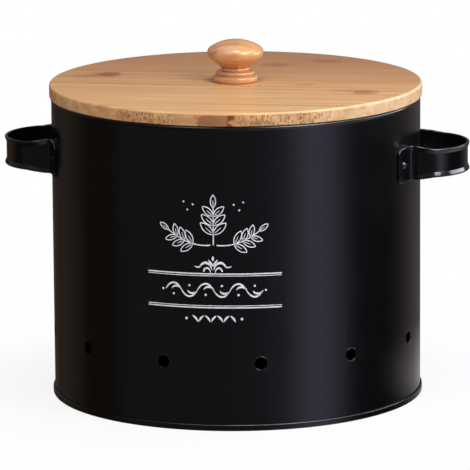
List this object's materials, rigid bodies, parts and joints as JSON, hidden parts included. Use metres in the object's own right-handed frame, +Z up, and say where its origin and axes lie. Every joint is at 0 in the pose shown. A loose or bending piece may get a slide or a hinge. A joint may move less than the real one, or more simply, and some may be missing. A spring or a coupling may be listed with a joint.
{
  "type": "potato storage bin",
  "caption": "Round lidded storage tin with a ring of air vents low in its wall, two riveted strap handles and a lift-off strip-laminated wooden lid with a turned knob.",
  "frame": {"origin": "centre of the base seam ring, on the surface that the tin stands on", "axes": "+Z up; the printed front faces -Y; the two strap handles lie on +X and -X; the lid's strips run along X"},
  "size_m": [0.305, 0.2424, 0.2319],
  "materials": {
    "powder_coat": "satin black powder coat on sheet steel",
    "bamboo_board": "sanded strip-laminated bamboo with a thin clear satin lacquer",
    "varnished_knob": "turned bamboo with a gloss varnish",
    "silicone_seal": "milky moulded silicone",
    "zinc_screw": "bright zinc plating",
    "screen_print": "matt white screen-printing ink"
  },
  "bodies": {
    "tin": {"body_shell": "powder_coat", "base_pan": "powder_coat", "right_handle": "powder_coat", "left_handle": "powder_coat", "rivet_right_front": "powder_coat", "rivet_right_back": "powder_coat", "rivet_left_front": "powder_coat", "rivet_left_back": "powder_coat"},
    "lid": {"lid_strip_1": "bamboo_board", "lid_strip_2": "bamboo_board", "lid_strip_3": "bamboo_board", "lid_strip_4": "bamboo_board", "lid_strip_5": "bamboo_board", "lid_strip_6": "bamboo_board", "lid_strip_7": "bamboo_board", "lid_strip_8": "bamboo_board", "lid_strip_9": "bamboo_board", "lid_strip_10": "bamboo_board", "lid_seal": "silicone_seal", "knob": "varnished_knob", "knob_screw": "zinc_screw"}
  },
  "joints": [
    {"name": "lid_lift", "type": "slide", "parent": "tin", "child": "lid", "axis": [0, 0, 1], "range_m": [0, 0.15]}
  ]
}
